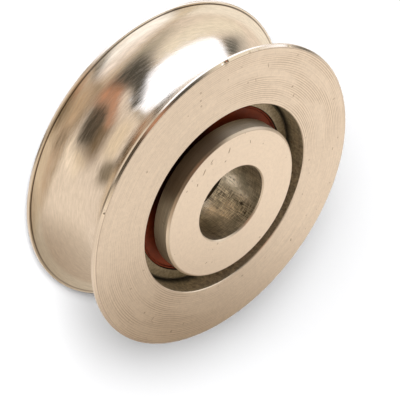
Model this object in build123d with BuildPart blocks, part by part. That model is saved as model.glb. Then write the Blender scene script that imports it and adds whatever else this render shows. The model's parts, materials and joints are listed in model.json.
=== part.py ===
from build123d import *
import os
from math import sqrt

# Grooved pulley wheel: a turned steel wheel with a U groove runs on a sealed ball bearing,
# and two flanged spacer bushings pressed into the bearing carry it on a through shaft.
# Millimetres. The wheel's axis is Z, the origin is on the axis at mid width, and the wheel
# lies on the end of its lower bushing. "front" is the +Z side, "back" is the -Z side.
# Each size is set by itself, and the radii are worked out from the shaft bore outwards.

# Spacer bushings
shaft_bore = 12.7
bore_chamfer = 0.2
sleeve_wall = 1.15
sleeve_gap = 1.4
neck_step = 1.9
neck_length = 1.3
flange_overhang = 3.3
flange_thickness = 3.2
flange_chamfer = 0.3

# Ball bearing
bearing_section = 8.5
bearing_width = 9.0
bearing_corner = 0.5
ball_diameter = 4.762
ball_count = 9
ball_play = 0.015
race_relief = 0.1
shoulder_rise = 0.88

# Ribbon cage of the bearing
cage_thickness = 0.4
cage_side_clearance = 0.5
cage_ball_clearance = 0.06
cage_seal_clearance = 0.259
rivet_diameter = 0.8
rivet_head_diameter = 1.3
rivet_head_height = 0.3

# Seals of the bearing
ring_face_width = 1.9
ring_lip_thickness = 0.55
seat_undercut = 0.35
seal_fit_clearance = 0.03
seal_sink = 0.15
seal_edge_gap = 0.14
seal_bead_width = 0.24
seal_line_width = 0.16
seal_line_depth = 0.3
seal_crown = 0.12
seal_lip_step = 0.33
seal_lip_clearance = 0.06
seal_lip_width = 0.5
insert_thickness = 0.3
insert_edge_cover = 0.45

# Wheel
pocket_shoulder = 1.5
pocket_chamfer = 0.12
groove_web = 2.15
groove_radius = 7.25
rim_land = 0.4
rim_chamfer = 0.3
lip_round = 0.12

# Radii from the shaft outwards
bore_radius = shaft_bore / 2
sleeve_radius = bore_radius + sleeve_wall
neck_radius = sleeve_radius + neck_step
flange_radius = neck_radius + flange_overhang
bearing_radius = sleeve_radius + bearing_section
ball_radius = ball_diameter / 2
pitch_radius = (sleeve_radius + bearing_radius) / 2
race_radius = ball_radius + race_relief
inner_shoulder_radius = pitch_radius - ball_radius + shoulder_rise
outer_shoulder_radius = pitch_radius + ball_radius - shoulder_rise
seal_land_radius = inner_shoulder_radius - seal_lip_step
ring_lip_radius = bearing_radius - ring_face_width
undercut_radius = ring_lip_radius + seat_undercut
rim_radius = bearing_radius + groove_web + groove_radius

# Heights above mid width
half_bearing = bearing_width / 2
half_wheel = groove_radius + rim_land + rim_chamfer
flange_bottom = half_bearing + neck_length
flange_top = flange_bottom + flange_thickness
ring_lip_bottom = half_bearing - ring_lip_thickness
cage_top = ball_radius + cage_ball_clearance + cage_thickness
seat_floor = cage_top + cage_seal_clearance
seal_face = half_bearing - seal_sink
insert_top = seat_floor + insert_thickness


# Wheel: one turning, its bearing pocket bored from the front down to a shoulder
with BuildPart() as wheel:
    with BuildSketch(Plane.XZ) as wheel_section:
        with BuildLine():
            body_line = Polyline(
                (rim_radius, -groove_radius),
                (rim_radius, -half_wheel + rim_chamfer),
                (rim_radius - rim_chamfer, -half_wheel),
                (bearing_radius - pocket_shoulder, -half_wheel),
                (bearing_radius - pocket_shoulder, -half_bearing),
                (bearing_radius, -half_bearing),
                (bearing_radius, half_wheel - pocket_chamfer),
                (bearing_radius + pocket_chamfer, half_wheel),
                (rim_radius - rim_chamfer, half_wheel),
                (rim_radius, half_wheel - rim_chamfer),
                (rim_radius, groove_radius),
            )
            ThreePointArc(body_line @ 1, (rim_radius - groove_radius, 0), body_line @ 0)
        make_face()
        lip_corners = wheel_section.vertices().group_by(Axis.X)[-1].sort_by(Axis.Y)[1:3]
        fillet(lip_corners, radius=lip_round)
    revolve(axis=Axis.Z)
wheel.part.label = "wheel"


# Bearing outer ring: raceway inside, and a lipped seat for a seal at each end
outer_race_centre = pitch_radius + ball_radius + ball_play - race_radius
outer_race_edge = sqrt(race_radius**2 - (outer_shoulder_radius - outer_race_centre) ** 2)
with BuildPart() as bearing_outer_ring:
    with BuildSketch(Plane.XZ) as outer_section:
        with BuildLine():
            front_line = Polyline(
                (outer_shoulder_radius, outer_race_edge),
                (outer_shoulder_radius, seat_floor),
                (undercut_radius, seat_floor),
                (undercut_radius, ring_lip_bottom),
                (ring_lip_radius, ring_lip_bottom),
                (ring_lip_radius, half_bearing),
                (bearing_radius, half_bearing),
                (bearing_radius, 0),
            )
            mirror(front_line, about=Plane.XZ)
            ThreePointArc(
                (outer_shoulder_radius, outer_race_edge),
                (outer_race_centre + race_radius, 0),
                (outer_shoulder_radius, -outer_race_edge),
            )
        make_face()
        ring_corners = outer_section.vertices().group_by(Axis.X)[-1].sort_by(Axis.Y)
        fillet([ring_corners[0], ring_corners[-1]], radius=bearing_corner)
    revolve(axis=Axis.Z)
bearing_outer_ring.part.label = "bearing_outer_ring"


# Bearing inner ring: raceway outside, stepped down at each end for the seal's lip
inner_race_centre = pitch_radius - ball_radius - ball_play + race_radius
inner_race_edge = sqrt(race_radius**2 - (inner_race_centre - inner_shoulder_radius) ** 2)
with BuildPart() as bearing_inner_ring:
    with BuildSketch(Plane.XZ) as inner_section:
        with BuildLine():
            front_line = Polyline(
                (inner_shoulder_radius, inner_race_edge),
                (inner_shoulder_radius, seat_floor),
                (seal_land_radius, seat_floor),
                (seal_land_radius, half_bearing),
                (sleeve_radius, half_bearing),
                (sleeve_radius, 0),
            )
            mirror(front_line, about=Plane.XZ)
            ThreePointArc(
                (inner_shoulder_radius, inner_race_edge),
                (inner_race_centre - race_radius, 0),
                (inner_shoulder_radius, -inner_race_edge),
            )
        make_face()
        ring_corners = inner_section.vertices().group_by(Axis.X)[0].sort_by(Axis.Y)
        fillet([ring_corners[0], ring_corners[-1]], radius=bearing_corner)
    revolve(axis=Axis.Z)
bearing_inner_ring.part.label = "bearing_inner_ring"


# Balls, evenly round the pitch circle
balls = []
for number in range(ball_count):
    with BuildPart() as ball:
        with PolarLocations(pitch_radius, 1, start_angle=number * 360 / ball_count):
            Sphere(ball_radius)
    ball.part.label = f"ball_{number + 1}"
    balls.append(ball)


# Ribbon cage: two pressed halves that cup the balls and meet on the flats between them
cage_inner_radius = inner_shoulder_radius + cage_side_clearance
cage_outer_radius = outer_shoulder_radius - cage_side_clearance
pocket_radius = ball_radius + cage_ball_clearance
rivet_angle = 180 / ball_count
with BuildPart() as cage_front:
    with BuildSketch() as ribbon:
        Circle(cage_outer_radius)
        Circle(cage_inner_radius, mode=Mode.SUBTRACT)
    extrude(amount=cage_thickness)
    with PolarLocations(pitch_radius, ball_count):
        Sphere(cage_top)
    extrude(ribbon.sketch, amount=cage_top, mode=Mode.INTERSECT)
    with PolarLocations(pitch_radius, ball_count):
        Sphere(pocket_radius, mode=Mode.SUBTRACT)
    with PolarLocations(pitch_radius, ball_count, start_angle=rivet_angle):
        Cylinder(rivet_diameter / 2, 2 * cage_thickness, mode=Mode.SUBTRACT)
cage_front.part.label = "cage_front"

with BuildPart() as cage_back:
    mirror(cage_front.part, about=Plane.XY)
cage_back.part.label = "cage_back"

with BuildPart() as cage_rivets:
    with PolarLocations(pitch_radius, ball_count, start_angle=rivet_angle):
        Cylinder(rivet_diameter / 2, 2 * cage_thickness)
        head_height = cage_thickness + rivet_head_height / 2
        with Locations((0, 0, head_height), (0, 0, -head_height)):
            Cylinder(rivet_head_diameter / 2, rivet_head_height)
    head_rims = cage_rivets.edges().filter_by(GeomType.CIRCLE).group_by(Axis.Z)
    chamfer(head_rims[0] + head_rims[-1], length=rivet_head_height / 2)
cage_rivets.part.label = "cage_rivets"


# Seals: rubber moulded on a flat steel washer, snapped under the outer ring's lip
insert_outer_radius = undercut_radius - insert_edge_cover
insert_inner_radius = inner_shoulder_radius + insert_edge_cover
seal_edge_radius = ring_lip_radius - seal_edge_gap
bead_inner_radius = seal_edge_radius - seal_bead_width
crown_outer_radius = bead_inner_radius - seal_line_width
seal_tip_radius = seal_land_radius + seal_lip_clearance
lip_root_radius = inner_shoulder_radius + seal_lip_clearance
lip_bottom = seat_floor + 2 * seal_lip_clearance
lip_top = lip_bottom + seal_lip_width
with BuildPart() as seal_front:
    with BuildSketch(Plane.XZ):
        with BuildLine():
            rim_line = Polyline(
                (insert_outer_radius, insert_top),
                (insert_outer_radius, seat_floor),
                (undercut_radius - seal_fit_clearance, seat_floor),
                (undercut_radius - seal_fit_clearance, ring_lip_bottom - seal_fit_clearance),
                (seal_edge_radius, ring_lip_bottom - seal_fit_clearance),
                (seal_edge_radius, seal_face - seal_bead_width / 2),
            )
            bead = ThreePointArc(
                rim_line @ 1,
                (seal_edge_radius - seal_bead_width / 2, seal_face),
                (bead_inner_radius, seal_face - seal_bead_width / 2),
            )
            mark_line = Polyline(
                bead @ 1,
                (bead_inner_radius, seal_face - seal_line_depth),
                (crown_outer_radius, seal_face - seal_line_depth),
                (crown_outer_radius, seal_face - seal_crown),
            )
            crown = ThreePointArc(
                mark_line @ 1,
                ((crown_outer_radius + lip_root_radius) / 2, seal_face),
                (lip_root_radius, seal_face - seal_crown),
            )
            Polyline(
                crown @ 1,
                (lip_root_radius, lip_top),
                (seal_tip_radius, (lip_bottom + lip_top) / 2),
                (seal_tip_radius, lip_bottom),
                (insert_inner_radius, lip_bottom),
                (insert_inner_radius, insert_top),
                rim_line @ 0,
            )
        make_face()
    revolve(axis=Axis.Z)
seal_front.part.label = "seal_front"

with BuildPart() as seal_back:
    mirror(seal_front.part, about=Plane.XY)
seal_back.part.label = "seal_back"

with BuildPart() as seal_insert_front:
    with BuildSketch(Plane.XY.offset(seat_floor)):
        Circle(insert_outer_radius)
        Circle(insert_inner_radius, mode=Mode.SUBTRACT)
    extrude(amount=insert_thickness)
seal_insert_front.part.label = "seal_insert_front"

with BuildPart() as seal_insert_back:
    mirror(seal_insert_front.part, about=Plane.XY)
seal_insert_back.part.label = "seal_insert_back"


# Spacer bushings: a sleeve in the bearing, a neck against its inner ring, and a wide flange
with BuildPart() as bushing_front:
    with BuildSketch(Plane.XZ) as bushing_section:
        with BuildLine():
            Polyline(
                (bore_radius, sleeve_gap / 2),
                (sleeve_radius, sleeve_gap / 2),
                (sleeve_radius, half_bearing),
                (neck_radius, half_bearing),
                (neck_radius, flange_bottom),
                (flange_radius, flange_bottom),
                (flange_radius, flange_top),
                (bore_radius, flange_top),
                close=True,
            )
        make_face()
        chamfer(bushing_section.vertices().group_by(Axis.X)[-1], length=flange_chamfer)
        bore_mouth = bushing_section.vertices().group_by(Axis.X)[0].sort_by(Axis.Y)[-1]
        chamfer(bore_mouth, length=bore_chamfer)
    revolve(axis=Axis.Z)
bushing_front.part.label = "bushing_front"

with BuildPart() as bushing_back:
    mirror(bushing_front.part, about=Plane.XY)
bushing_back.part.label = "bushing_back"


# One STEP file for each piece
pieces = [wheel, bearing_outer_ring, bearing_inner_ring, *balls, cage_front, cage_back, cage_rivets]
pieces += [seal_front, seal_back, seal_insert_front, seal_insert_back, bushing_front, bushing_back]
os.makedirs("parts", exist_ok=True)
for piece in pieces:
    export_step(piece.part, f"parts/{piece.part.label}.step")
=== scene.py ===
# %% [markdown]
# # A grooved pulley wheel on its ball bearing
# The part is a turned steel wheel with a round groove for a rope or rail, a sealed ball bearing in
# its pocket, and a flanged spacer bushing at each side. The solids come in as a fixed frame. This
# script dresses them: it lays fine lathe meshes over the turned pieces, gives every surface a
# finish made from nodes, and sets up the floor, the light and the camera.

# %% Load the frame
import json
import math

import bpy
import numpy as np
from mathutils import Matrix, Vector


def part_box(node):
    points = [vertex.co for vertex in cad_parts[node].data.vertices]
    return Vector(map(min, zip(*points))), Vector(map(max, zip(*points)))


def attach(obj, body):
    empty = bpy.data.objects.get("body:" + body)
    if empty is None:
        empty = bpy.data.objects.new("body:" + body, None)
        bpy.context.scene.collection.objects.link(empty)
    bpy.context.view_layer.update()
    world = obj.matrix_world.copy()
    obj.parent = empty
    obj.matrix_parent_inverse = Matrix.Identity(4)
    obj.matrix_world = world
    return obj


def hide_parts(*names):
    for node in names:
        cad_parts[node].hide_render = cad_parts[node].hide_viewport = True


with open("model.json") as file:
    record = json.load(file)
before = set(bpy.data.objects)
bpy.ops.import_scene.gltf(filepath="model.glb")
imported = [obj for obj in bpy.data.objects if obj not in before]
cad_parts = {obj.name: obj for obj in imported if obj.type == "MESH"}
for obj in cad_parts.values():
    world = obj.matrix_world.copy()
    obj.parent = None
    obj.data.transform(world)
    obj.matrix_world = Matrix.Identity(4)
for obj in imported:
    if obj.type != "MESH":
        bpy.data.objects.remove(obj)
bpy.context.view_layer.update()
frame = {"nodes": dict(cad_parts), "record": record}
print("nodes", sorted(frame["nodes"]))

# %% [markdown]
# ## Sizes
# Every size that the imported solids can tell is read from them, so the meshes below follow the
# frame. Their boxes give the outside of each turned piece: half a box across is its largest radius,
# and the top of a box is its highest face. Only the sizes inside an outline, such as a chamfer, are
# written down here. All lengths are in metres, as Blender and the frame have them.

# %% Read the sizes
MM = 0.001


def outer_radius(node):
    """The largest radius of a turned node."""
    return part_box(node)[1].x


def top_height(node):
    """The highest point of a node above mid width."""
    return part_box(node)[1].z


def bottom_height(node):
    """The lowest point of a node."""
    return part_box(node)[0].z


rim_radius = outer_radius("wheel")
half_wheel = top_height("wheel")
bearing_radius = outer_radius("bearing_outer_ring")
half_bearing = top_height("bearing_outer_ring")
flange_radius = outer_radius("bushing_front")
flange_top = top_height("bushing_front")
sleeve_bottom = bottom_height("bushing_front")
shaft_bore = next(mount for mount in frame["record"]["mounts"] if mount["name"] == "shaft_bore")
bore_radius = shaft_bore["dims"]["r_mm"] * MM
print("wheel radius", round(rim_radius / MM, 2), "bore radius", round(bore_radius / MM, 2))

# %% Sizes inside the outlines
groove_radius = 7.25 * MM
rim_chamfer = 0.3 * MM
lip_round = 0.12 * MM
pocket_shoulder = 1.5 * MM
pocket_chamfer = 0.12 * MM
flange_thickness = 3.2 * MM
flange_chamfer = 0.3 * MM
bore_chamfer = 0.2 * MM
neck_radius = 9.4 * MM
sleeve_radius = 7.5 * MM
ring_face_width = 1.9 * MM
ring_lip_thickness = 0.55 * MM
seat_undercut = 0.35 * MM
bearing_corner = 0.5 * MM

# %% [markdown]
# ## Camera
# The photo looks down on the wheel from its front, with the axis 55 degrees away from the line of
# sight. The wheel stands on its rim there. Here it lies on the end of its bushing, so the camera
# takes the same place relative to the wheel, and the wheel's +Y stays up in the picture.
# A camera can be turned with Euler angles, but a place, a point to look at and an up direction say
# the same in words that can be checked with a ruler.

# %% Helpers for objects


def new_object(name, data):
    """An object in the scene."""
    made = bpy.data.objects.new(name, data)
    bpy.context.scene.collection.objects.link(made)
    return made


def new_sheet(name, corners, material):
    """A flat object with four corners."""
    mesh = bpy.data.meshes.new(name)
    mesh.from_pydata(corners, [], [(0, 1, 2, 3)])
    mesh.materials.append(material)
    return new_object(name, mesh)


# %% Place the camera
camera_place = Vector((-118.3, 146.6, 135.0)) * MM
camera_aim = Vector((1.64, -7.83, 0.0)) * MM
picture_up = Vector((0, 1, 0))
focal_length_mm = 130.85
sensor_width_mm = 36
nearest_seen = 0.01

camera = new_object("camera", bpy.data.cameras.new("camera"))
camera.data.lens = focal_length_mm
camera.data.sensor_width = sensor_width_mm
camera.data.clip_start = nearest_seen

sight = (camera_aim - camera_place).normalized()
right = sight.cross(picture_up).normalized()
turn = camera.matrix_world.to_3x3()
turn.col[0] = right
turn.col[1] = right.cross(sight)
turn.col[2] = -sight
camera.matrix_world = turn.to_4x4()
camera.location = camera_place
bpy.context.scene.camera = camera
bpy.context.scene.view_settings.view_transform = "Standard"
print("camera is", round((camera_place - camera_aim).length / MM), "mm away")

# %% [markdown]
# ## Making nodes with few words
# A material in Blender is a tree of nodes. Each node is made, set and linked, which takes many
# lines. These helpers take the node's kind, what goes into its sockets and its settings in one
# call. A value that is itself a socket is linked, and any other value is written into the socket.

# %% Helpers for nodes


def add(tree, kind, sockets=None, **settings):
    """Adds a node. sockets maps input names or numbers to values or to output sockets."""
    made = tree.nodes.new(kind)
    for name, value in settings.items():
        setattr(made, name, value)
    for name, value in (sockets or {}).items():
        if isinstance(value, bpy.types.NodeSocket):
            tree.links.new(value, made.inputs[name])
        else:
            made.inputs[name].default_value = value
    return made


def calc(tree, operation, a, b=0.0):
    """One Math node, and its result."""
    return add(tree, "ShaderNodeMath", {0: a, 1: b}, operation=operation).outputs[0]


def vector_calc(tree, operation, a, b=(0, 0, 0)):
    """One Vector Math node, and the vector it gives."""
    return add(tree, "ShaderNodeVectorMath", {0: a, 1: b}, operation=operation).outputs["Vector"]


def scaled(tree, vector, factor):
    """A vector or a colour times a number."""
    made = add(tree, "ShaderNodeVectorMath", {0: vector, "Scale": factor}, operation="SCALE")
    return made.outputs["Vector"]


def length(tree, vector):
    """How long a vector is."""
    return add(tree, "ShaderNodeVectorMath", {0: vector}, operation="LENGTH").outputs["Value"]


def dot(tree, a, b):
    """The dot product of two vectors."""
    return add(tree, "ShaderNodeVectorMath", {0: a, 1: b}, operation="DOT_PRODUCT").outputs["Value"]


def grade(tree, value, low, high, to_low=0.0, to_high=1.0):
    """Maps low..high to to_low..to_high with a soft start and end."""
    names = {"Value": value, "From Min": low, "From Max": high, "To Min": to_low, "To Max": to_high}
    return add(tree, "ShaderNodeMapRange", names, interpolation_type="SMOOTHSTEP").outputs[0]


def blend_colours(tree, share, a, b):
    """A colour between a and b, by share. Sockets 6 and 7 are the Mix node's two colours."""
    return add(tree, "ShaderNodeMix", {"Factor": share, 6: a, 7: b}, data_type="RGBA").outputs[2]


def noise(tree, vector, scale, detail, roughness=0.5):
    """One Noise Texture node, and its value."""
    sockets = {"Vector": vector, "Scale": scale, "Detail": detail, "Roughness": roughness}
    return add(tree, "ShaderNodeTexNoise", sockets).outputs[0]


def on_object(tree):
    """The place on the object itself, in metres, which turns with it."""
    return add(tree, "ShaderNodeTexCoord").outputs["Object"]


def on_object_in_mm(tree):
    """The place on the object itself, in mm."""
    return scaled(tree, on_object(tree), 1 / MM)


# %% Helpers for groups and materials


def new_group(name, inputs, outputs):
    """A shader node group with named sockets: each is (name, kind, start value)."""
    group = bpy.data.node_groups.new(name, "ShaderNodeTree")
    for label, kind, start in inputs:
        socket = group.interface.new_socket(label, in_out="INPUT", socket_type="NodeSocket" + kind)
        socket.default_value = start
    for label, kind in outputs:
        group.interface.new_socket(label, in_out="OUTPUT", socket_type="NodeSocket" + kind)
    return group, group.nodes.new("NodeGroupInput"), group.nodes.new("NodeGroupOutput")


def give(group, group_out, results):
    """Links what a group works out to its outputs."""
    for name, value in results.items():
        group.links.new(value, group_out.inputs[name])


def use(tree, group, sockets=None):
    """Places a node group in a tree."""
    return add(tree, "ShaderNodeGroup", sockets, node_tree=group)


def new_material(name):
    """A material, and its empty tree."""
    material = bpy.data.materials.new(name)
    material.use_nodes = True
    material.node_tree.nodes.clear()
    return material, material.node_tree


def show(tree, shader):
    """Makes a shader the surface of its material."""
    add(tree, "ShaderNodeOutputMaterial", {"Surface": shader.outputs[0]})


# %% [markdown]
# ## Light
# Bare metal has hardly any colour of its own: it shows what stands round it. The photo was taken in
# a white tent with one big soft box above, and the groove shows that box, the dark gap in the tent
# where the camera stands, and warm light beside it. Lamps can't be that soft and that exact, so
# the tent is painted on the world as a few soft-edged cards. Each card is a rectangle in front of
# the object, given by the direction of its centre: degrees round from +X, and degrees above the
# floor. A group works out how far inside a card a direction lies.

# %% The card group
card_group, card_in, card_out = new_group(
    "studio_card",
    [
        ("Centre", "Vector", (0, 0, 1)),
        ("Side", "Vector", (1, 0, 0)),
        ("Up", "Vector", (0, 1, 0)),
        ("Half Width", "Float", 0.5),
        ("Half Height", "Float", 0.5),
        ("Softness", "Float", 0.1),
    ],
    [("Mask", "Float")],
)


def inside_band(tree, place, half, soft):
    """1 where a value lies within half of 0, falling to 0 over soft."""
    beyond = calc(tree, "SUBTRACT", calc(tree, "ABSOLUTE", place), half)
    starts, ends = calc(tree, "MULTIPLY", soft, -0.5), calc(tree, "MULTIPLY", soft, 0.5)
    return grade(tree, beyond, starts, ends, 1.0, 0.0)


just_ahead = 0.001
direction = add(card_group, "ShaderNodeTexCoord").outputs["Generated"]
ahead = dot(card_group, direction, card_in.outputs["Centre"])
safe_ahead = calc(card_group, "MAXIMUM", ahead, just_ahead)
across = calc(card_group, "DIVIDE", dot(card_group, direction, card_in.outputs["Side"]), safe_ahead)
upward = calc(card_group, "DIVIDE", dot(card_group, direction, card_in.outputs["Up"]), safe_ahead)
in_width = inside_band(card_group, across, card_in.outputs["Half Width"], card_in.outputs["Softness"])
in_height = inside_band(card_group, upward, card_in.outputs["Half Height"], card_in.outputs["Softness"])
in_front = calc(card_group, "GREATER_THAN", ahead, just_ahead)
both = calc(card_group, "MULTIPLY", in_width, in_height)
give(card_group, card_out, {"Mask": calc(card_group, "MULTIPLY", both, in_front)})

# %% Hang the cards
world = bpy.data.worlds.new("tent")
bpy.context.scene.world = world
world.use_nodes = True
sky = world.node_tree
sky.nodes.clear()


def pointing(round_deg, above_deg):
    """The direction at these angles."""
    round_, above = math.radians(round_deg), math.radians(above_deg)
    return Vector((math.cos(above) * math.cos(round_), math.cos(above) * math.sin(round_), math.sin(above)))


def hang_card(behind, name, start, end, wide_deg, soft_deg, colour):
    """Lays a soft strip from start to end over the light that is there, and gives the new colour."""
    first, last = pointing(*start), pointing(*end)
    centre = (first + last).normalized()
    side = (last - first).normalized()
    card = use(sky, card_group, {
        "Centre": centre, "Side": side, "Up": centre.cross(side),
        "Half Width": math.tan(first.angle(last) / 2),
        "Half Height": math.tan(math.radians(wide_deg / 2)),
        "Softness": math.tan(math.radians(soft_deg)),
    })
    card.label = name
    return blend_colours(sky, card.outputs["Mask"], behind, (*colour, 1))


tent = (0.97, 0.87, 0.77, 1)
cards = [
    # name, from and to (degrees round, degrees above), width, softness, colour
    ("dim ceiling", (-14, 70), (70, 64), 44, 16, (0.54, 0.50, 0.405)),
    ("cream wall", (-22, 24), (60, 30), 22, 16, (1.08, 1.02, 0.87)),
    ("dim floor on the left", (-170, -62), (-90, -62), 40, 30, (0.55, 0.46, 0.35)),
    ("wall beside the camera", (122, -18), (160, -18), 34, 20, (0.96, 0.83, 0.65)),
    ("dusk below the camera", (128, 20), (172, 20), 36, 26, (0.24, 0.175, 0.11)),
    ("dark behind the camera", (118, 50), (166, 42), 37, 14, (0.09, 0.075, 0.055)),
    ("warm reflector", (98, 74), (110, 38), 17, 9, (0.66, 0.35, 0.22)),
    ("warm reflector, low end", (106, 44), (135, 13), 13, 9, (0.62, 0.35, 0.23)),
    ("soft box", (7, -6), (112, -8), 71, 6, (1.75, 1.90, 2.20)),
    ("shade beside the box", (50, 60), (84, 30), 18, 18, (0.34, 0.32, 0.27)),
    ("dark edge of the soft box", (68, 66), (89, 26), 25, 12, (0.10, 0.095, 0.08)),
    ("end of the dark edge", (86, 31), (110, -8), 16, 8, (0.11, 0.105, 0.09)),
    ("shade by the gap", (-11, 20), (-11, -12), 12, 10, (0.72, 0.67, 0.60)),
    ("gap in the tent", (-1, 14), (0, -15), 14, 10, (0.17, 0.17, 0.15)),
    ("strip beside the box", (112, -12), (112, -52), 8, 8, (0.55, 0.47, 0.36)),
    ("dark low corner", (174, -14), (174, -46), 20, 13, (0.25, 0.21, 0.15)),
    ("dim floor on the right", (108, -54), (168, -54), 20, 12, (0.40, 0.33, 0.25)),
    ("bright strip", (-169, 72), (-173, 42), 15, 10, (1.22, 1.10, 0.95)),
    ("shade beside the strip", (176, 50), (175, 20), 8, 9, (0.84, 0.72, 0.56)),
    ("end of the bright strip", (-174, 40), (-174, 30), 7, 8, (1.35, 1.20, 0.95)),
]
light = tent
for card in cards:
    light = hang_card(light, *card)
rays = add(sky, "ShaderNodeLightPath")
tent_light = add(sky, "ShaderNodeBackground", {"Color": light})
white_backdrop = add(sky, "ShaderNodeBackground", {"Color": (1, 1, 1, 1)})
seen = add(sky, "ShaderNodeMixShader", {
    0: rays.outputs["Is Camera Ray"], 1: tent_light.outputs[0], 2: white_backdrop.outputs[0]})
add(sky, "ShaderNodeOutputWorld", {"Surface": seen.outputs[0]})
print("cards", [card[0] for card in cards])

# %% [markdown]
# ## Floor
# The background is plain white, with a soft grey shadow. The floor is a matt pale sheet under lamps
# of its own, which the next cells hang: they light it up to white, and the shadow is where the
# wheel keeps them off it. A white sheet lit by the tent alone would do too, but then the shadow
# could only be as soft and as short as the tent makes it. In the photo the wheel stands with its
# back to open air, so the floor is not mirrored in it: the metal shows the tent instead.

# %% Lay the floor
paper, tree = new_material("white_paper")
rays = add(tree, "ShaderNodeLightPath")
matt = add(tree, "ShaderNodeBsdfDiffuse", {"Color": (0.16, 0.162, 0.165, 1)})
# only the camera sees this faint glow, which keeps the sheet's far parts fully white
faint_glow = 0.01
seen_glow = calc(tree, "MULTIPLY", rays.outputs["Is Camera Ray"], faint_glow)
glow = add(tree, "ShaderNodeEmission", {"Color": (1, 1, 1, 1), "Strength": seen_glow})
show(tree, add(tree, "ShaderNodeAddShader", {0: matt.outputs[0], 1: glow.outputs[0]}))

floor_half = 0.6
floor_height = bottom_height("bushing_back")
corners = [(x * floor_half, y * floor_half, floor_height) for x, y in ((-1, -1), (1, -1), (1, 1), (-1, 1))]
floor = new_sheet("floor", corners, paper)
floor.visible_glossy = False
print("floor at", round(floor_height / MM, 2), "mm")

# %% [markdown]
# ## The shadow and the table
# The soft shadow in the photo has two lobes, a short one and a long faint one. A sun lamp gives one
# direction everywhere, and its angle is how large the light looks, so a wide angle gives a soft
# edge. Two suns draw the two lobes. Light linking gives their light to the floor alone: the wheel
# still shades the floor, and is itself lit by the tent.
# In the photo the wheel stands on a table, which closes the lower half of what the metal mirrors,
# and is dark where the wheel shades it. A card at the wheel's lower side gives that reflection,
# darkest at a foot near the wheel. It is seen in the metal alone, and casts no shadow.

# %% Hang the lamps
suns = [
    # name, degrees round, degrees above the floor, strength
    ("high_sun", 110, 32, 22.6),
    ("low_sun", 126, 20, 19.5),
]
sun_width_deg = 25
lit_by_suns = bpy.data.collections.new("lit_by_suns")
lit_by_suns.objects.link(floor)
for name, round_deg, above_deg, strength in suns:
    sun = new_object(name, bpy.data.lights.new(name, "SUN"))
    sun.data.energy = strength
    sun.data.angle = math.radians(sun_width_deg)
    sun.rotation_euler = pointing(round_deg, above_deg).to_track_quat("Z", "Y").to_euler()
    sun.visible_glossy = False
    sun.light_linking.receiver_collection = lit_by_suns

# %% Stand the table card
foot_place = (-9 * MM, 0, 9 * MM)
foot_stretch = (0.77, 0, 1)
foot_reach = 35 * MM
table, tree = new_material("table")
from_foot = vector_calc(tree, "SUBTRACT", on_object(tree), foot_place)
away = length(tree, vector_calc(tree, "MULTIPLY", from_foot, foot_stretch))
lit = grade(tree, away, 0.0, foot_reach)
# the card's glow is a painted reflection of a lit table, and its dark foot is the wheel's shadow painted
# onto it
table_glow_with_painted_shadow = blend_colours(tree, lit, (0.40, 0.32, 0.24, 1), (1.0, 0.90, 0.79, 1))
show(tree, add(tree, "ShaderNodeEmission", {"Color": table_glow_with_painted_shadow}))

card_half = 0.15
card_gap = 0.2 * MM
card_y = -rim_radius - card_gap
corners = [(-card_half, card_y, floor_height), (card_half, card_y, floor_height),
           (card_half, card_y, card_half), (-card_half, card_y, card_half)]
table_card = new_sheet("table_card", corners, table)
for kind in ("camera", "diffuse", "shadow", "transmission", "volume_scatter"):
    setattr(table_card, "visible_" + kind, False)
print("table card at", round(card_y / MM, 2), "mm")

# %% [markdown]
# ## A lathe for meshes
# Everything here was turned on a lathe, so one helper makes every mesh: it takes half a section,
# as lines and arcs of (radius, height), and spins it about Z. A Screw modifier could do that too,
# but it guesses the shading normals from the faces, and a polished groove shows each wrong guess
# as a kink in its reflections. Here each line and arc gives its own exact normals.
# An outline runs with the metal on its right-hand side, so its left-hand side is the outside.

# %% Lines and arcs


def line(start, end, finish, steps=1):
    """A straight cut from start to end: its points, outward normals and finish number."""
    start, end = np.array(start, float), np.array(end, float)
    along = (end - start) / np.linalg.norm(end - start)
    points = start + np.linspace(0, 1, steps + 1)[:, None] * (end - start)
    return points, np.tile([-along[1], along[0]], (steps + 1, 1)), finish


def arc(start, middle, end, finish, steps=6):
    """A round cut through three points."""
    (ax, ay), (bx, by), (cx, cy) = start, middle, end
    twice = 2 * ((ax - bx) * (by - cy) - (bx - cx) * (ay - by))
    first, second = ax**2 + ay**2 - bx**2 - by**2, bx**2 + by**2 - cx**2 - cy**2
    centre_x = (first * (by - cy) - second * (ay - by)) / twice
    centre_y = (second * (ax - bx) - first * (bx - cx)) / twice
    centre = np.array([centre_x, centre_y])
    spokes = np.array([start, end]) - centre
    from_angle, to_angle = np.arctan2(spokes[:, 1], spokes[:, 0])
    hollow = twice > 0
    sweep = (to_angle - from_angle) % (2 * np.pi) - (0 if hollow else 2 * np.pi)
    angles = from_angle + sweep * np.linspace(0, 1, steps + 1)
    spokes = np.stack([np.cos(angles), np.sin(angles)], 1)
    return centre + np.linalg.norm(centre - start) * spokes, (-1 if hollow else 1) * spokes, finish


def cuts(corners, finish):
    """Straight cuts from corner to corner."""
    return [line(start, end, finish) for start, end in zip(corners[:-1], corners[1:])]


def turned_over(outline):
    """The same outline for the piece at the back."""
    return [(points[::-1] * (1, -1), outward[::-1] * (1, -1), finish)
            for points, outward, finish in outline[::-1]]


# %% Spin an outline


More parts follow.
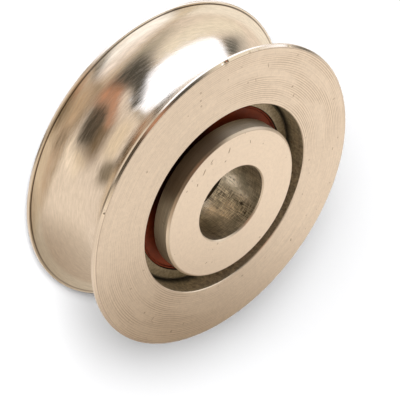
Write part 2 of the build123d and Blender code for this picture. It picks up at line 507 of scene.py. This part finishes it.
def lathe(name, outline, finishes, turns=720, dents=()):
    """Spins a closed outline into one mesh piece with exact normals. A dent is a shallow round hollow:
    its place (degrees round, radius, height), how wide it is and how deep."""
    section, outward, numbers, faces = [], [], [], []
    for points, normals, finish in outline:
        first = sum(map(len, section))
        section.append(points)
        outward.append(normals)
        faces += [(first + step, first + step + 1) for step in range(len(points) - 1)]
        numbers += [finish] * (len(points) - 1)
    section, outward, faces = np.concatenate(section), np.concatenate(outward), np.array(faces)
    angles = np.arange(turns) * 2 * np.pi / turns
    round_ = np.stack([np.cos(angles), np.sin(angles)], 1)
    spun = [np.concatenate([flat[:, None, :1] * round_, np.repeat(flat[:, None, 1:], turns, 1)], 2)
            for flat in (section, outward)]
    places, normals = spun[0].reshape(-1, 3), spun[1].reshape(-1, 3)

    for round_deg, radius, height, width, depth in dents:
        angle = math.radians(round_deg)
        offset = places - (radius * math.cos(angle), radius * math.sin(angle), height)
        share = np.clip(1 - (offset**2).sum(1) / (width / 2) ** 2, 0, 1)[:, None]
        tilt = offset * share * 4 * depth / (width / 2) ** 2
        places = places - normals * depth * share**2
        normals = normals - (tilt - normals * (tilt * normals).sum(1)[:, None])
        normals /= np.linalg.norm(normals, axis=1)[:, None]

    here = np.arange(turns)
    ahead = (here + 1) % turns
    low, high = faces[:, :1] * turns, faces[:, 1:] * turns
    quads = np.stack([low + here, high + here, high + ahead, low + ahead], 2).reshape(-1, 4)
    corner_normals = normals[quads].reshape(-1, 3)
    # the end of one cut is the start of the next: both use one row of points
    weld = np.arange(len(section))
    starts = np.cumsum([0] + [len(points) for points, _, _ in outline])
    weld[starts[1:-1]] = starts[1:-1] - 1
    weld[-1] = 0
    kept, weld = np.unique(weld, return_inverse=True)
    quads = weld[quads // turns] * turns + quads % turns
    places = places.reshape(len(section), turns, 3)[kept].reshape(-1, 3)

    mesh = bpy.data.meshes.new(name)
    mesh.from_pydata(places.tolist(), [], quads.tolist())
    mesh.polygons.foreach_set("material_index", np.repeat(np.array(numbers, np.int32), turns))
    mesh.polygons.foreach_set("use_smooth", np.ones(len(quads), bool))
    for finish in finishes:
        mesh.materials.append(finish)
    mesh.normals_split_custom_set(corner_normals.tolist())
    print(name, len(quads), "faces")
    return new_object(name, mesh)


def dress(piece, body, node):
    """Puts a turned piece in the place of its node."""
    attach(piece, body)
    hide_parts(node)


# %% [markdown]
# ## Tool marks
# A lathe tool leaves rings: evenly spaced feed marks, and finer uneven ones. Polishing leaves
# streaks that run the same way. Both need to know how far round and how far out a point lies, so a
# first group works that out from the object's own coordinates, which turn with the wheel.

# %% Where a point lies on the lathe
place_group, _, place_out = new_group("lathe_place", [], [
    ("Round", "Vector"), ("Radius", "Float"), ("Height", "Float"), ("Along Groove", "Float")])
in_mm = on_object_in_mm(place_group)
flat = vector_calc(place_group, "MULTIPLY", in_mm, (1, 1, 0))
height = add(place_group, "ShaderNodeSeparateXYZ", {0: in_mm}).outputs["Z"]
steepness = calc(place_group, "ARCSINE", calc(place_group, "DIVIDE", height, groove_radius / MM))
give(place_group, place_out, {
    "Round": vector_calc(place_group, "NORMALIZE", flat),
    "Radius": length(place_group, flat),
    "Height": height,
    "Along Groove": calc(place_group, "MULTIPLY", steepness, groove_radius / MM),
})


def noise_at(tree, where, turns, across, detail, roughness=0.5):
    """Noise over a strip: turns says how quickly it changes round the part."""
    round_part = scaled(tree, where.outputs["Round"], turns)
    across_part = add(tree, "ShaderNodeCombineXYZ", {"Z": across}).outputs[0]
    return noise(tree, vector_calc(tree, "ADD", round_part, across_part), 1.0, detail, roughness)


# %% Rings and streaks
rings_group, rings_in, rings_out = new_group(
    "tool_rings",
    [("Across", "Float", 0.0), ("Feed", "Float", 0.4), ("Streak", "Float", 0.15), ("Sway", "Float", 2.0)],
    [("Line", "Float"), ("Streak", "Float")],
)
where = use(rings_group, place_group)
across = rings_in.outputs["Across"]
wander = noise_at(rings_group, where, 0.8, calc(rings_group, "MULTIPLY", across, 0.7), 1.0)
cycle = calc(rings_group, "ADD", calc(rings_group, "DIVIDE", across, rings_in.outputs["Feed"]), wander)
wave = calc(rings_group, "SINE", calc(rings_group, "MULTIPLY", cycle, 2 * math.pi))
band = noise_at(rings_group, where, 2.5, calc(rings_group, "MULTIPLY", across, 0.5), 3.0)

# real tool rings, drawn darker and deeper on one side of a face, where the light rakes them, and
# nearly as much straight across from it: the darkening there is painted shade
raking_light_side = pointing(46, 0)
across_from_it = -0.85
side = dot(rings_group, where.outputs["Round"], raking_light_side)
side = calc(rings_group, "MAXIMUM", side, calc(rings_group, "MULTIPLY", side, across_from_it))
in_band, in_raking_light = grade(rings_group, band, 0.36, 0.6), grade(rings_group, side, 0.5, 0.95, 0.25)
deep = calc(rings_group, "MULTIPLY", in_band, in_raking_light)
cut = calc(rings_group, "MULTIPLY", grade(rings_group, wave, 0.2, 1.0), deep)
fine_across = calc(rings_group, "DIVIDE", across, rings_in.outputs["Streak"])
streaks = noise_at(rings_group, where, rings_in.outputs["Sway"], fine_across, 3.0, 0.65)
give(rings_group, rings_out, {"Line": cut, "Streak": streaks})
print("groups", [group.name for group in bpy.data.node_groups])

# %% [markdown]
# ## Small damage
# Bare steel that has been handled has short thin scratches in all directions and a few pits.
# Noise that is stretched along one direction and cut off high leaves only thin dashes. The points
# of a Voronoi texture give lone dots, of which a few are kept. A single nick that the photo shows
# has a group of its own, which draws a short ragged stroke at a given place.

# %% Scratches and pits
wear_group, _, wear_out = new_group("scratches_and_pits", [], [("Scratch", "Float"), ("Pit", "Float")])
in_mm = on_object_in_mm(wear_group)
scratches = 0.0
for angle_deg, thinness in ((20, 7.0), (75, 9.0), (140, 8.0)):
    turned = add(wear_group, "ShaderNodeMapping", {
        "Vector": in_mm, "Rotation": (0, 0, math.radians(angle_deg)), "Scale": (thinness, 0.9, 1.0)})
    dashes = grade(wear_group, noise(wear_group, turned.outputs[0], 1.0, 0.0), 0.77, 0.83)
    scratches = calc(wear_group, "MAXIMUM", scratches, dashes)
cells = add(wear_group, "ShaderNodeTexVoronoi", {"Vector": in_mm, "Scale": 0.8})
drawn = add(wear_group, "ShaderNodeSeparateColor", {0: cells.outputs["Color"]})
share_left_out = 0.72
smallest, largest = 0.05, 0.16
kept = calc(wear_group, "GREATER_THAN", drawn.outputs[0], share_left_out)
pit_size = grade(wear_group, drawn.outputs[1], 0.0, 1.0, smallest, largest)
inside = calc(wear_group, "LESS_THAN", cells.outputs["Distance"], pit_size)
give(wear_group, wear_out, {"Scratch": scratches, "Pit": calc(wear_group, "MULTIPLY", inside, kept)})

# %% One nick
nick_group, nick_in, nick_out = new_group(
    "nick",
    [
        ("Place", "Vector", (0, 0, 0)),
        ("Along", "Vector", (1, 0, 0)),
        ("Length", "Float", 1.0),
        ("Width", "Float", 0.2),
    ],
    [("Mask", "Float")],
)
in_mm = on_object_in_mm(nick_group)
offset = vector_calc(nick_group, "SUBTRACT", in_mm, nick_in.outputs["Place"])
along = dot(nick_group, offset, nick_in.outputs["Along"])
along_squared = calc(nick_group, "POWER", along, 2.0)
aside_squared = calc(nick_group, "SUBTRACT", dot(nick_group, offset, offset), along_squared)
aside = calc(nick_group, "SQRT", calc(nick_group, "MAXIMUM", aside_squared, 0.0))
share_along = calc(nick_group, "DIVIDE", calc(nick_group, "ABSOLUTE", along), nick_in.outputs["Length"])
share_aside = calc(nick_group, "DIVIDE", aside, nick_in.outputs["Width"])
ragged = calc(nick_group, "MULTIPLY", noise(nick_group, in_mm, 5.0, 2.0), 0.4)
far = calc(nick_group, "ADD", calc(nick_group, "MAXIMUM", share_along, share_aside), ragged)
give(nick_group, nick_out, {"Mask": grade(nick_group, far, 0.45, 0.75, 1.0, 0.0)})
print("wear groups", wear_group.name, nick_group.name)

# %% [markdown]
# ## Turned steel
# The faces of the wheel and bushings are faced off on a lathe: matt, warm grey, with rings.
# The rings bend the light only outwards and inwards, so the shine is drawn out along the radius.
# Anisotropy does that for the marks that are too fine to see, and a bump does it for the coarse ones.
# The groove is polished, so it mirrors the tent, and its short polishing marks blur what it mirrors.
# Walls that nobody cleans carry a thin dull film, so they are a little less metallic. Some corners
# and sides, and one side of the tool's first ring, are painted darker and browner: painted shade.

# %% Turned and bored steel
warm_steel = (0.77, 0.675, 0.57)
faced_steel = (0.81, 0.71, 0.60)
clean_steel = (0.88, 0.825, 0.72, 1)
# the dark brown of worn marks, which also colours the painted shade on sides and lines
oil_and_painted_shade = (0.25, 0.165, 0.10, 1)
pit_oil, pit_depth = 0.7, 2.0
scratch_oil, scratch_depth = 0.3, 1.0
nick_oil, nick_depth = 0.75, 2.0
line_depth = 0.5
# the side, in degrees round, on which edge lines are painted darker: painted shade where the metal mirrors
# the dark
painted_dark_side_deg = 115
scuff_across, scuff_turns = 0.24, 9.0


def steel(name, colour, roughness, anisotropy, across, feed, streak, sway=2.0, line_shade=0.3,
          streak_shade=0.1, relief=2e-6, wear=1.0, speckle=0.0, grain=1700.0, painted_shade_height=None, film=0.0,
          scuff=0.0, painted_shade_sides=(), clean_from=None, edge_line=None, nicks=()):
    """A metal with rings about Z. across is Radius on a flat face and Height on a round wall, feed
    and streak are the widths in mm of its rings and streaks, and sway is how short the streaks are.
    wear is how strong scratches and pits are, and speckle the share of a grain that blotches it.
    grime is the height in mm of a corner that is painted darker: painted shade. film is the share
    of a dull skin over the bare metal, and scuff is how much rougher the polishing marks are.
    stains are sides painted darker, as painted shade: each is its direction in degrees, how it
    starts and fills, and its share. Beyond clean_from mm from the groove's bottom the metal is
    cleaner. edge_line is the tool's first, deeper mark, painted darker still on the side that
    mirrors the dark: its radius and half its width in mm, and its share of dark. A nick is its
    place (degrees round, radius in mm), its direction in degrees, and how long and wide it is in mm."""
    material, tree = new_material(name)
    where = use(tree, place_group)
    rings = use(tree, rings_group, {
        "Across": where.outputs[across], "Feed": feed, "Streak": streak, "Sway": sway})
    damage = use(tree, wear_group)
    bright = grade(tree, rings.outputs["Streak"], 0.25, 0.75, 1.0 - streak_shade, 1.0 + streak_shade / 2)
    if speckle:
        speck = noise(tree, on_object(tree), grain, 5.0, 0.75)
        bright = calc(tree, "MULTIPLY", bright, grade(tree, speck, 0.3, 0.7, 1.0 - speckle, 1.0 + speckle))
    # painted shade: darker towards a corner at the height grime, and a little lighter above it
    if painted_shade_height:
        above = calc(tree, "ABSOLUTE", where.outputs["Height"])
        bright = calc(tree, "MULTIPLY", bright, grade(tree, above, painted_shade_height - 0.2, painted_shade_height + 1.3, 0.3, 1.1))
    rough = grade(tree, rings.outputs["Streak"], 0.2, 0.8, roughness * 0.85, roughness * 1.15)
    if scuff:
        fine_across = calc(tree, "DIVIDE", where.outputs[across], scuff_across)
        scuffed = grade(tree, noise_at(tree, where, scuff_turns, fine_across, 0.0), 0.35, 0.65)
        rough = calc(tree, "ADD", rough, calc(tree, "MULTIPLY", scuffed, scuff))
        bright = calc(tree, "MULTIPLY", bright, grade(tree, scuffed, 0.0, 1.0, 1.015, 0.985))
    if clean_from:
        beyond = calc(tree, "ABSOLUTE", where.outputs["Along Groove"])
        cleaned = grade(tree, beyond, clean_from, clean_from + 1.0)
        colour = blend_colours(tree, cleaned, (*colour, 1), clean_steel)
    tint = scaled(tree, colour, bright)

    # a mark is a mask, its share of the dark brown and how deep it is; pits, scratches and nicks are
    # real wear, the ring and edge lines partly painted shade and the shaded sides wholly
    marks = [
        (rings.outputs["Line"], line_shade, line_depth),
        (damage.outputs["Pit"], pit_oil * wear, pit_depth * wear),
        (damage.outputs["Scratch"], scratch_oil * wear, scratch_depth * wear),
    ]
    for round_deg, radius, direction_deg, long, wide in nicks:
        place, along = pointing(round_deg, 0) * radius, pointing(direction_deg, 0)
        place.z = (flange_top if radius < flange_radius / MM else half_wheel) / MM
        nick = use(tree, nick_group, {"Place": place, "Along": along, "Length": long, "Width": wide})
        marks.append((nick.outputs["Mask"], nick_oil, nick_depth))
    # an edge line is a real tool ring, painted darker on one side where the metal mirrors the dark: painted
    # shade
    if edge_line:
        line_radius, line_width, line_dark_share = edge_line
        off_line = calc(tree, "ABSOLUTE", calc(tree, "SUBTRACT", where.outputs["Radius"], line_radius))
        towards_dark_side = dot(tree, where.outputs["Round"], pointing(painted_dark_side_deg, 0))
        painted_dark_side = grade(tree, towards_dark_side, -0.2, 0.7, 0.35, 1.0)
        line_mask = calc(tree, "MULTIPLY", grade(tree, off_line, 0.02, line_width, 1.0, 0.0), painted_dark_side)
        marks.append((line_mask, line_dark_share, line_depth))
    # painted shade: each side listed is darker towards its direction
    for shade_deg, start, full, share in painted_shade_sides:
        towards = dot(tree, where.outputs["Round"], pointing(shade_deg, 0))
        marks.append((grade(tree, towards, start, full), share, 0.0))
    dirt_and_shade, depth = 0.0, rings.outputs["Streak"]
    for mask, share, deep in marks:
        if share:
            dirt_and_shade = calc(tree, "MAXIMUM", dirt_and_shade, calc(tree, "MULTIPLY", mask, share))
            depth = calc(tree, "SUBTRACT", depth, calc(tree, "MULTIPLY", mask, deep))
    tint = blend_colours(tree, dirt_and_shade, tint, oil_and_painted_shade)
    # the edge line is darkened further, most on its painted dark side
    if edge_line:
        tint = scaled(tree, tint, grade(tree, line_mask, 0.0, 1.0, 1.0, 1.0 - 0.6 * line_dark_share**2))

    bump = add(tree, "ShaderNodeBump", {"Height": depth, "Strength": 1.0, "Distance": relief})
    tangent = add(tree, "ShaderNodeTangent", direction_type="RADIAL", axis="Z")
    show(tree, add(tree, "ShaderNodeBsdfPrincipled", {
        "Base Color": tint, "Metallic": 1.0 - film, "Roughness": rough, "Anisotropic": anisotropy,
        "Anisotropic Rotation": 0.25, "Normal": bump.outputs[0], "Tangent": tangent.outputs[0],
    }))
    return material


face_nicks = [
    # degrees round, radius, direction in degrees, length, width
    (49.1, 19.5, 10, 0.5, 0.25), (44.7, 18.4, 60, 0.7, 0.2), (-49, 21.5, 80, 0.6, 0.25),
    (70, 22.3, 100, 0.9, 0.12), (75, 20.2, 95, 0.7, 0.1), (20, 23.4, 30, 0.5, 0.2),
    (-5, 22.6, 70, 0.6, 0.15), (-135, 21.2, 40, 0.8, 0.12),
]
turned_face = steel(
    "turned_face", faced_steel, 0.36, 0.6, "Radius", 0.33, 0.12, line_shade=0.48, speckle=0.055,
    wear=0.6, edge_line=((rim_radius - rim_chamfer) / MM - 0.12, 0.11, 0.4), nicks=face_nicks)
turned_rim = steel("turned_rim", warm_steel, 0.18, 0.3, "Height", 0.2, 0.08, wear=0)
# the groove's edge line runs along its lip and stands in for the dark that the lip mirrors: painted shade
polished_groove = steel(
    "polished_groove", warm_steel, 0.14, 0.5, "Along Groove", 1.7, 0.2, sway=14.0, line_shade=0.0,
    streak_shade=0.08, relief=7e-6, wear=0, scuff=0.09, clean_from=9.0,
    edge_line=(rim_radius / MM - 0.38, 0.2, 1.0))
# painted shade: the pocket wall and the outer ring's walls darken towards the bearing's corner
bored_wall = steel(
    "bored_wall", (0.43, 0.39, 0.275), 0.42, 0.4, "Height", 0.3, 0.1, speckle=0.45, grain=1800.0,
    painted_shade_height=half_bearing / MM, film=0.4)
print("steels", turned_face.name, turned_rim.name, polished_groove.name, bored_wall.name)

# %% [markdown]
# ## The wheel
# One outline goes round the section: the front face, its chamfered rim, the groove, the back, and
# the pocket that holds the bearing. The front rim has a few small knocks from handling, at the
# places where the photo shows them.

# %% Turn the wheel
FACE, RIM, GROOVE, BORED = range(4)
rim_inner = rim_radius - rim_chamfer
fine_edge = rim_inner - 1.2 * MM
lip_reach = groove_radius + lip_round
lip_height = math.sqrt(lip_reach**2 - lip_round**2)
lip_shrink = groove_radius / lip_reach
groove_end = (rim_radius - lip_round * lip_shrink, lip_height * lip_shrink)
lip_middle = (rim_radius - lip_round * (1 - math.sqrt(0.5)), lip_height - lip_round * math.sqrt(0.5))
pocket_mouth = bearing_radius + pocket_chamfer
back_bore = bearing_radius - pocket_shoulder

front_rim = [
    line((rim_inner, half_wheel), (rim_radius, half_wheel - rim_chamfer), RIM, 3),
    line((rim_radius, half_wheel - rim_chamfer), (rim_radius, lip_height), RIM, 3),
    arc((rim_radius, lip_height), lip_middle, groove_end, RIM, 4),
]
wheel_outline = [
    line((pocket_mouth, half_wheel), (fine_edge, half_wheel), FACE),
    line((fine_edge, half_wheel), (rim_inner, half_wheel), FACE, 8),
    *front_rim,
    arc(groove_end, (rim_radius - groove_radius, 0), (groove_end[0], -groove_end[1]), GROOVE, 60),
    *turned_over(front_rim),
    line((rim_inner, -half_wheel), (back_bore, -half_wheel), FACE),
    *cuts([(back_bore, -half_wheel), (back_bore, -half_bearing), (bearing_radius, -half_bearing),
           (bearing_radius, half_wheel - pocket_chamfer)], BORED),
    line((bearing_radius, half_wheel - pocket_chamfer), (pocket_mouth, half_wheel), FACE),
]
knocks = [
    # degrees round, radius, height, width, depth
    (91.6, rim_radius - 0.1 * MM, half_wheel, 1.5 * MM, 0.22 * MM),
    (81.2, 25.0 * MM, half_wheel, 0.8 * MM, 0.08 * MM),
    (77.1, 25.05 * MM, half_wheel, 0.7 * MM, 0.06 * MM),
    (62.0, 25.05 * MM, half_wheel, 0.8 * MM, 0.07 * MM),
    (-49.1, 24.8 * MM, half_wheel, 1.0 * MM, 0.1 * MM),
    (155, 25.2 * MM, half_wheel, 0.9 * MM, 0.07 * MM),
]
wheel_finishes = [turned_face, turned_rim, polished_groove, bored_wall]
wheel = lathe("wheel_turned", wheel_outline, wheel_finishes, turns=1024, dents=knocks)
dress(wheel, "wheel", "wheel")

# %% [markdown]
# ## The bushings
# Each bushing is a flange that stands proud of the wheel, a neck that presses on the bearing's
# inner ring, and a sleeve that fits into that ring. The bore runs through both. The back one is
# the front one turned over, so its outline is the same with the heights' signs changed.

# %% The bushings' outline and steels
TOP, SIDE, BORE, EDGE = range(4)
flange_bottom = flange_top - flange_thickness
flange_face_edge = flange_radius - flange_chamfer
bushing_outline = [
    line((bore_radius + bore_chamfer, flange_top), (flange_face_edge, flange_top), TOP),
    line((flange_face_edge, flange_top), (flange_radius, flange_top - flange_chamfer), EDGE),
    *cuts([(flange_radius, flange_top - flange_chamfer), (flange_radius, flange_bottom + flange_chamfer),
           (flange_face_edge, flange_bottom), (neck_radius, flange_bottom), (neck_radius, half_bearing),
           (sleeve_radius, half_bearing), (sleeve_radius, sleeve_bottom),
           (bore_radius, sleeve_bottom)], SIDE),
    line((bore_radius, sleeve_bottom), (bore_radius, flange_top - bore_chamfer), BORE),
    line((bore_radius, flange_top - bore_chamfer), (bore_radius + bore_chamfer, flange_top), EDGE),
]
hub_nicks = [
    # degrees round, radius, direction in degrees, length, width
    (93.7, 10.44, 70, 1.0, 0.25), (70.6, 10.51, 95, 0.7, 0.15), (121.6, 10.5, 60, 1.1, 0.25),
    (133.2, 9.98, 80, 0.5, 0.25), (99.2, 8.91, 30, 0.4, 0.2), (112, 10.9, 50, 0.9, 0.18),
    (-120, 10.2, 20, 0.5, 0.15),
]
hub_face = steel(
    "hub_face", (0.85, 0.75, 0.64), 0.4, 0.3, "Radius", 0.35, 0.1, line_shade=0.03, streak_shade=0.04,
    relief=1e-6, wear=0.5, speckle=0.035, edge_line=(flange_face_edge / MM - 0.05, 0.11, 0.4),
    nicks=hub_nicks)
# the hub's side and edge are painted darker on the sides in stains: painted shade
hub_side = steel(
    "hub_side", (0.89, 0.79, 0.635), 0.38, 0.5, "Height", 0.25, 0.1, line_shade=0.1, streak_shade=0.3,
    film=0.22, painted_shade_sides=((123, 0.80, 0.95, 0.85), (215, 0.70, 1.0, 0.7), (45, 0.9, 1.0, 0.45)))
hub_edge = steel(
    "hub_edge", (0.73, 0.63, 0.51), 0.36, 0.2, "Height", 0.2, 0.1, line_shade=0, wear=0,
    painted_shade_sides=((130, 0.7, 0.95, 0.75), (65, 0.75, 1.0, 0.3)))
print("hub steels", hub_face.name, hub_side.name, hub_edge.name)

# %% [markdown]
# ## The bore
# The bore has been on a shaft. Its skin is a dull, blotched grey-brown, with fine marks both round
# and along it where the shaft was pushed in, and a few places are rubbed bright. The blotches are
# wide noise. The marks along the bore change quickly round it and slowly along it. The rubbed
# places, the worn side where the marks are strongest and the dark spot are balls of influence
# round points on the wall. The marks break up their edges, because metal is rubbed on its ridges.

# %% Blotches, marks and rubbed places
bore_group, _, bore_out = new_group("shaft_rub", [], [
    ("Blotch", "Float"), ("Hatch", "Float"), ("Worn", "Float"), ("Rubbed", "Float"), ("Spot", "Float")])
where = use(bore_group, place_group)
height = where.outputs["Height"]
in_mm = on_object_in_mm(bore_group)
blotch = noise_at(bore_group, where, 2.6, calc(bore_group, "MULTIPLY", height, 0.45), 3.0, 0.6)
round_marks = noise_at(bore_group, where, 6.0, calc(bore_group, "MULTIPLY", height, 6.0), 3.0)
long_marks = noise_at(bore_group, where, 38.0, calc(bore_group, "MULTIPLY", height, 0.55), 3.0)
hatch = calc(bore_group, "ADD", round_marks, long_marks)


def near_point(place, reach, raggedness):
    """1 at a place, given in mm, and 0 beyond its reach."""
    offset = vector_calc(bore_group, "SUBTRACT", in_mm, place)
    distance = length(bore_group, vector_calc(bore_group, "DIVIDE", offset, reach))
    ragged = calc(bore_group, "MULTIPLY", calc(bore_group, "SUBTRACT", hatch, 1.0), raggedness)
    return grade(bore_group, calc(bore_group, "ADD", distance, ragged), 0.45, 1.15, 1.0, 0.0)


rubbed_places = [
    # place, reach
    ((5.78, -2.62, 2.6), (1.3, 1.3, 2.4)),
    ((1.55, -6.16, 2.6), (1.2, 1.2, 1.9)),
    ((5.35, -3.45, 5.6), (0.9, 0.9, 1.6)),
    ((2.2, -5.95, 4.8), (0.9, 0.9, 2.0)),
    ((3.4, -5.35, 4.6), (1.0, 1.0, 1.6)),
]
rubbed = 0.0
for place, reach in rubbed_places:
    rubbed = calc(bore_group, "MAXIMUM", rubbed, near_point(place, reach, 2.6))
long_ridges = grade(bore_group, long_marks, 0.42, 0.58)
round_ridges = grade(bore_group, round_marks, 0.5, 0.66)
ridges = calc(bore_group, "MAXIMUM", long_ridges, round_ridges)
rubbed = calc(bore_group, "MULTIPLY", rubbed, grade(bore_group, ridges, 0.0, 1.0, 0.35, 1.0))
spot = near_point((4.63, -4.35, 6.21), (0.34, 0.34, 0.42), 0.3)
worn = near_point((3.9, -5.0, 4.4), (2.6, 2.6, 5.0), 0.6)
give(bore_group, bore_out, {"Blotch": blotch, "Hatch": hatch, "Worn": worn, "Rubbed": rubbed, "Spot": spot})

# %% The bore's finish
spot_shade = 0.85
dark_skin, light_skin = (0.43, 0.385, 0.30, 1), (0.60, 0.535, 0.43, 1)
bared_steel = (0.93, 0.80, 0.655)
hub_bore, tree = new_material("hub_bore")
rub = use(tree, bore_group)
dull = blend_colours(tree, grade(tree, rub.outputs["Blotch"], 0.35, 0.65), dark_skin, light_skin)
shade = grade(tree, rub.outputs["Hatch"], 0.7, 1.3, -0.6, 0.75)
shade = calc(tree, "MULTIPLY", shade, grade(tree, rub.outputs["Worn"], 0.0, 1.0, 0.55, 1.3))
shade = calc(tree, "ADD", 1.0, shade)
off_spot = calc(tree, "SUBTRACT", 1.0, calc(tree, "MULTIPLY", rub.outputs["Spot"], spot_shade))
dull = scaled(tree, dull, calc(tree, "MULTIPLY", shade, off_spot))
bared = scaled(tree, bared_steel, grade(tree, rub.outputs["Hatch"], 0.75, 1.25, 0.76, 1.12))
tint = blend_colours(tree, rub.outputs["Rubbed"], dull, bared)
rough = grade(tree, rub.outputs["Rubbed"], 0.0, 1.0, 0.38, 0.16)
bump = add(tree, "ShaderNodeBump", {"Height": rub.outputs["Hatch"], "Distance": 5e-6})
show(tree, add(tree, "ShaderNodeBsdfPrincipled", {
    "Base Color": tint, "Metallic": 1.0, "Roughness": rough, "Normal": bump.outputs[0]}))
print("bore finish", hub_bore.name)

# %% Spin the bushings
bushing_finishes = [hub_face, hub_side, hub_bore, hub_edge]
for name, outline in (("bushing_front", bushing_outline), ("bushing_back", turned_over(bushing_outline))):
    dress(lathe(name + "_turned", outline, bushing_finishes), "hub", name)

# %% [markdown]
# ## The bearing's outer ring and seals
# The outer ring is ground, and its end face is finer than the turned faces round it. Each seal is
# red-brown rubber: a thin bead and a sharp dark line near its outer edge, then a slightly domed
# ring that runs in under the bushing.

# %% Turn the ring
END, WALL = range(2)
ring_lip = bearing_radius - ring_face_width
undercut = ring_lip + seat_undercut
lip_bottom = half_bearing - ring_lip_thickness
seat_floor = bottom_height("seal_front")
shoulder_radius = 13.251 * MM
race_reach, race_edge = 14.146 * MM, 2.117 * MM
corner_start = (bearing_radius - bearing_corner, half_bearing)
corner_end = (bearing_radius, half_bearing - bearing_corner)
corner_cut = bearing_corner * (1 - math.sqrt(0.5))
corner_middle = (bearing_radius - corner_cut, half_bearing - corner_cut)
ring_front = [
    *cuts([(shoulder_radius, race_edge), (shoulder_radius, seat_floor), (undercut, seat_floor),
           (undercut, lip_bottom), (ring_lip, lip_bottom), (ring_lip, half_bearing)], WALL),
    line((ring_lip, half_bearing), corner_start, END),
    arc(corner_start, corner_middle, corner_end, WALL),
    line(corner_end, (bearing_radius, 0), WALL),
]
ring_outline = [
    *ring_front, *turned_over(ring_front),
    arc((shoulder_radius, -race_edge), (race_reach, 0), (shoulder_radius, race_edge), WALL, 24),
]
ring_end = steel(
    "ring_end", (0.32, 0.27, 0.19), 0.34, 0.3, "Radius", 0.2, 0.08, line_shade=0.1, wear=0.5, speckle=0.35,
    grain=2200.0)
outer_ring = lathe("outer_ring_turned", ring_outline, [ring_end, bored_wall])
dress(outer_ring, "wheel", "bearing_outer_ring")
print("seal seat at", round(seat_floor / MM, 3), "mm")

# %% [markdown]
# ## Rubber
# The seal is moulded nitrile rubber. Its colour is a deep red-brown, a little uneven, and its skin
# is satin: a plastic-like gloss over a matt body, with the very fine grain of the mould. On one
# side, between the wheel and the bushing, it is painted nearly black: painted shade.

# %% Rubber
deep_red, light_red = (0.20, 0.033, 0.009, 1), (0.34, 0.066, 0.020, 1)
painted_shade_colour = (0.03, 0.016, 0.008, 1)
shaded_side_deg = 130
rubber, tree = new_material("red_brown_rubber")
where = use(tree, place_group)
rings = use(tree, rings_group, {"Across": where.outputs["Radius"], "Feed": 0.5, "Streak": 0.1, "Sway": 6.0})
place = on_object(tree)
cloud = noise(tree, place, 350.0, 3.0)
grain = noise(tree, place, 6000.0, 2.0)
tint = blend_colours(tree, grade(tree, cloud, 0.3, 0.7), deep_red, light_red)
# painted shade: the seal turns nearly black on one side, between the wheel and the bushing
painted_shade_share = grade(tree, dot(tree, where.outputs["Round"], pointing(shaded_side_deg, 0)), 0.68, 0.9, 0.0, 0.75)
tint = blend_colours(tree, painted_shade_share, tint, painted_shade_colour)
rough = grade(tree, cloud, 0.3, 0.7, 0.5, 0.62)
relief = calc(tree, "ADD", grain, calc(tree, "MULTIPLY", rings.outputs["Streak"], 0.6))
bump = add(tree, "ShaderNodeBump", {"Height": relief, "Distance": 6e-6})
show(tree, add(tree, "ShaderNodeBsdfPrincipled", {
    "Base Color": tint, "Roughness": rough, "Specular IOR Level": 0.2, "Normal": bump.outputs[0]}))
print("rubber", rubber.name)

# %% Mould the seals
fit = 0.03 * MM
seal_face = top_height("seal_front")
seal_edge = ring_lip - 0.14 * MM
bead_inner = seal_edge - 0.24 * MM
crown_outer = bead_inner - 0.16 * MM
domed_edge, line_floor = seal_face - 0.12 * MM, seal_face - 0.3 * MM
lip_root, seal_tip = 10.309 * MM, 9.979 * MM
crown_middle, bead_middle = (lip_root + crown_outer) / 2, (bead_inner + seal_edge) / 2
lip_low, lip_high = seat_floor + 0.12 * MM, seat_floor + 0.62 * MM
insert_outer, insert_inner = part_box("seal_insert_front")[1].x, 10.699 * MM
insert_top = top_height("seal_insert_front")
seal_outline = [
    *cuts([(seal_tip, lip_low), (seal_tip, (lip_low + lip_high) / 2), (lip_root, lip_high),
           (lip_root, domed_edge)], 0),
    arc((lip_root, domed_edge), (crown_middle, seal_face), (crown_outer, domed_edge), 0, 24),
    *cuts([(crown_outer, domed_edge), (crown_outer, line_floor), (bead_inner, line_floor),
           (bead_inner, domed_edge)], 0),
    arc((bead_inner, domed_edge), (bead_middle, seal_face), (seal_edge, domed_edge), 0, 8),
    *cuts([(seal_edge, domed_edge), (seal_edge, lip_bottom - fit), (undercut - fit, lip_bottom - fit),
           (undercut - fit, seat_floor), (insert_outer, seat_floor), (insert_outer, insert_top),
           (insert_inner, insert_top), (insert_inner, lip_low), (seal_tip, lip_low)], 0),
]
for name, outline in (("seal_front", seal_outline), ("seal_back", turned_over(seal_outline))):
    dress(lathe(name + "_moulded", outline, [rubber], turns=360), "wheel", name)

# %% [markdown]
# ## Inside the bearing
# The inner ring, balls, cage, rivets and seal inserts are closed in. They keep the meshes of the
# solids and get their own finishes: ground ring, bright balls, pressed and tumbled cage, and plain
# sheet for the washers that the seals are moulded on. The inner ring is given a dark grey, and its
# middle, which shows as a line in the bore between the two sleeves, darker still: painted shade.

# %% Finish the bearing's inside
# painted shade: a dark grey ring, darker still in the middle that shows between the sleeves
ground_ring = steel(
    "ground_ring", (0.4, 0.38, 0.34), 0.22, 0.4, "Height", 0.15, 0.06, line_shade=0.1, wear=0, painted_shade_height=1.3)
bright_ball = steel(
    "bright_ball", (0.68, 0.67, 0.66), 0.06, 0.0, "Height", 0.5, 0.3, line_shade=0, streak_shade=0.03,
    relief=1e-7, wear=0)
tumbled_cage = steel(
    "tumbled_cage", (0.5, 0.49, 0.46), 0.38, 0.0, "Radius", 0.6, 0.3, sway=9.0, line_shade=0.1, wear=0.6)
plain_sheet = steel("plain_sheet", (0.52, 0.5, 0.47), 0.34, 0.2, "Radius", 0.4, 0.2, wear=0.4)
finishes = {
    # how the names of the nodes start, and their finish
    "bearing_inner_ring": ground_ring,
    "cage": tumbled_cage,
    "ball": bright_ball,
    "seal_insert": plain_sheet,
}
for name, node in frame["nodes"].items():
    for start, finish in finishes.items():
        if name.startswith(start):
            node.data.materials.clear()
            node.data.materials.append(finish)
            print(name, finish.name)
